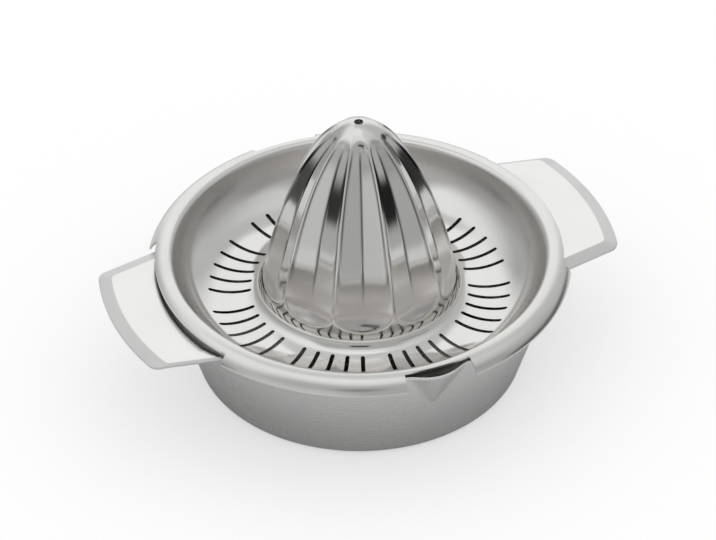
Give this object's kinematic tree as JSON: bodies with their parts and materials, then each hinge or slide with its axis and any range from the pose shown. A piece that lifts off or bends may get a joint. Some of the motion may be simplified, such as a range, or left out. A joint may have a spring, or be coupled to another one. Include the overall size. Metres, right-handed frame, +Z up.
{
  "type": "citrus juicer",
  "caption": "Stainless steel hand citrus juicer: fluted cone and slotted strainer dish in one lift-off top, resting on a low juice bowl with flat side handles and a pouring lip.",
  "frame": {"origin": "centre of the bowl's flat base, on the surface it stands on", "axes": "+Z up along the cone, X through both handles, the pouring lip towards -Y"},
  "size_m": [0.1904, 0.1522, 0.104],
  "materials": {
    "satin_steel": "satin",
    "bright_steel": "bright",
    "polished_steel": "mirror polished"
  },
  "bodies": {
    "bowl": {"juice_bowl": "satin_steel", "left_handle": "bright_steel", "right_handle": "bright_steel"},
    "top": {"reamer_strainer": "polished_steel"}
  },
  "joints": [
    {"name": "top_lift", "type": "slide", "parent": "bowl", "child": "top", "axis": [0, 0, 1], "range_m": [0, 0.08]}
  ]
}
